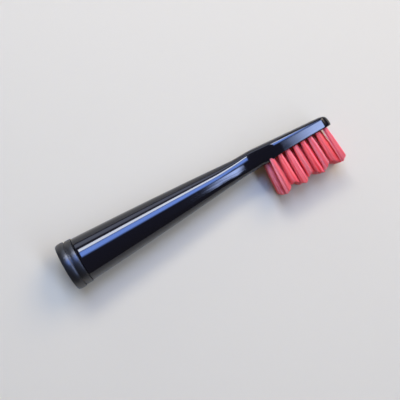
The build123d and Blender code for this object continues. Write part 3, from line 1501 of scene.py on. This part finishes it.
@dataclass(frozen=True)
class Softbox:
    """A rectangular lamp that looks at the brush.

    Attributes:
        name: Name of the lamp.
        place: Where it stands, in metres.
        size: Its length along the brush and its width, in metres.
        radiance: Brightness of its face.
        colour: Colour of its light.
        fade: Shares of its length and width over which each edge fades out, as cloth over a lamp does.
    """

    name: str
    place: tuple[float, float, float]
    size: tuple[float, float]
    radiance: float
    colour: str
    fade: tuple[float, float]

    def soften(self, light: bpy.types.Light) -> None:
        """Fade the lamp's face out at its edges.

        Args:
            light: The lamp's light.
        """
        light.use_nodes = True
        tree = light.node_tree
        # Parametric runs from 0 to 1 along each side of the face, so its middle is at a half.
        half = 0.5
        face = add_node(tree, "ShaderNodeNewGeometry", {}, {}).outputs["Parametric"]
        offset = add_node(tree, "ShaderNodeVectorMath", {"operation": "SUBTRACT"}, {0: face})
        offset.inputs[1].default_value = (half, half, 0.0)
        distance = add_node(
            tree, "ShaderNodeVectorMath", {"operation": "ABSOLUTE"}, {0: offset.outputs["Vector"]}
        )
        sides = add_node(tree, "ShaderNodeSeparateXYZ", {}, {"Vector": distance.outputs["Vector"]})
        edges = [
            add_node(
                tree,
                "ShaderNodeMapRange",
                {"interpolation_type": "SMOOTHSTEP", "From Min": half, "From Max": half - share},
                {"Value": sides.outputs[axis]},
            ).outputs["Result"]
            for axis, share in zip("XY", self.fade)
        ]
        level = add_node(tree, "ShaderNodeMath", {"operation": "MULTIPLY"}, dict(enumerate(edges)))
        tree.links.new(level.outputs["Value"], tree.nodes["Emission"].inputs["Strength"])

    def build(self) -> None:
        """Add the lamp, turned to the brush with its length along it."""
        light = bpy.data.lights.new(self.name, "AREA")
        light.shape = "RECTANGLE"
        light.size, light.size_y = self.size
        light.energy = LAMP_POWER * self.radiance * self.size[0] * self.size[1]
        light.color = linear(self.colour)[:3]
        self.soften(light)
        lamp = bpy.data.objects.new(self.name, light)
        back = Vector(self.place).normalized()
        along = (Vector((1, 0, 0)) - back * back.x).normalized()
        turned = Matrix((along, back.cross(along), back)).transposed()
        lamp.matrix_world = Matrix.Translation(self.place) @ turned.to_4x4()
        bpy.context.scene.collection.objects.link(lamp)


@dataclass
class Stage:
    """The pale floor, the light from all round, the soft lamps and the camera.

    Attributes:
        floor_size: Length of the floor's sides, in metres.
        floor_colour: Colour of the floor, warm enough to look neutral under the bluish lamps.
        floor_roughness: Roughness of the floor.
        world_colour: Colour of the light from all round.
        world_strength: Its strength.
        backdrop_strength: Its strength where the camera sees it past the floor.
        lens: Focal length of the camera, in millimetres.
        sensor: Width of its sensor, in millimetres.
        clip_start: Nearest distance that it sees, in metres.
        camera_place: Where it stands, in metres.
        camera_back: Direction from the brush to the camera.
        camera_right: Direction to the right of the picture.
        lamps: The soft lamps.
    """

    floor_size: float = 4.0
    floor_colour: str = "#d2c5a3"
    floor_roughness: float = 0.9
    world_colour: str = "#fff3e4"
    world_strength: float = 0.1
    backdrop_strength: float = 0.42
    lens: float = 64.8
    sensor: float = 36.0
    clip_start: float = 0.005
    camera_place: tuple[float, float, float] = (-0.01604, -0.00875, 0.20162)
    camera_back: tuple[float, float, float] = (-0.0785, -0.0494, 0.9957)
    camera_right: tuple[float, float, float] = (0.8617, -0.5057, 0.0428)
    lamps: tuple[Softbox, ...] = (
        Softbox("key_strip", (0.08, 0.398, 0.449), (0.3, 0.18), 12.6, "#e6edff", (0.1, 0.2)),
        Softbox("sky_box", (0.08, 0.203, 0.5625), (0.3, 0.41), 10.4, "#7ca3ff", (0.1, 0.36)),
        Softbox("back_card", (0.03, 0.571, 0.185), (0.34, 0.32), 1.5, "#d8e2ff", (0.1, 0.3)),
        Softbox("end_box", (0.274, -0.13, 0.65), (0.16, 0.34), 14.0, "#b0c6ff", (0.3, 0.2)),
        Softbox("side_box", (0.245, -0.43, 0.53), (0.1, 0.42), 11.0, "#b0c6ff", (0.25, 0.15)),
        Softbox("fill_box", (0.49, 0.2, 0.49), (0.44, 0.54), 5.0, "#fff1de", (0.25, 0.25)),
    )

    def floor(self) -> None:
        """Lay the pale floor."""
        bpy.ops.object.select_all(action="DESELECT")
        bpy.ops.mesh.primitive_plane_add(size=self.floor_size)
        floor = named("floor")
        material, _, shader = new_material("pale_floor")
        shader.inputs["Base Color"].default_value = linear(self.floor_colour)
        shader.inputs["Roughness"].default_value = self.floor_roughness
        floor.data.materials.append(material)

    def world(self) -> None:
        """Set the soft light that comes from all round, and the paler backdrop that the camera sees."""
        world = bpy.data.worlds.new("studio")
        world.use_nodes = True
        tree = world.node_tree
        background = tree.nodes["Background"]
        background.inputs["Color"].default_value = linear(self.world_colour)
        seen = add_node(tree, "ShaderNodeLightPath", {}, {}).outputs["Is Camera Ray"]
        level = add_node(
            tree,
            "ShaderNodeMapRange",
            {"To Min": self.world_strength, "To Max": self.backdrop_strength},
            {"Value": seen},
        )
        tree.links.new(level.outputs["Result"], background.inputs["Strength"])
        bpy.context.scene.world = world

    def camera(self) -> None:
        """Set the camera above the brush, as the photograph was taken."""
        data = bpy.data.cameras.new("camera")
        data.lens = self.lens
        data.sensor_width = self.sensor
        data.clip_start = self.clip_start
        camera = bpy.data.objects.new("camera", data)
        back = Vector(self.camera_back).normalized()
        right = Vector(self.camera_right)
        right = (right - back * right.dot(back)).normalized()
        turned = Matrix((right, back.cross(right), back)).transposed()
        camera.matrix_world = Matrix.Translation(self.camera_place) @ turned.to_4x4()
        bpy.context.scene.collection.objects.link(camera)
        bpy.context.scene.camera = camera

    def build(self) -> None:
        """Build the whole stage."""
        self.floor()
        self.world()
        for lamp in self.lamps:
            lamp.build()
        self.camera()
        bpy.context.scene.view_settings.view_transform = "Standard"


def main() -> None:
    """Build the stage and every piece in order."""
    logging.basicConfig(level=logging.INFO, format="%(message)s")
    Stage().build()
    lie = BrushFrame.from_mounts(frame["record"]["mounts"])
    body, tufts = BrushBody(), Tufts()
    places = tufts.places(body)
    body.build(lie, places, GlossBlack().make())
    BaseRing().build(lie, SatinBlack().make())
    DriveSocket().build(lie, GreyAcetal().make())
    repaint("retaining_spring", RolledMetal("rolled_spring_steel", "#b9bbbe").make())
    repaint("tuft_anchors", RolledMetal("nickel_silver", "#b9b2a2").make())
    tufts.build(lie, places, DyedNylon().make())


if __name__ == "__main__":
    main()
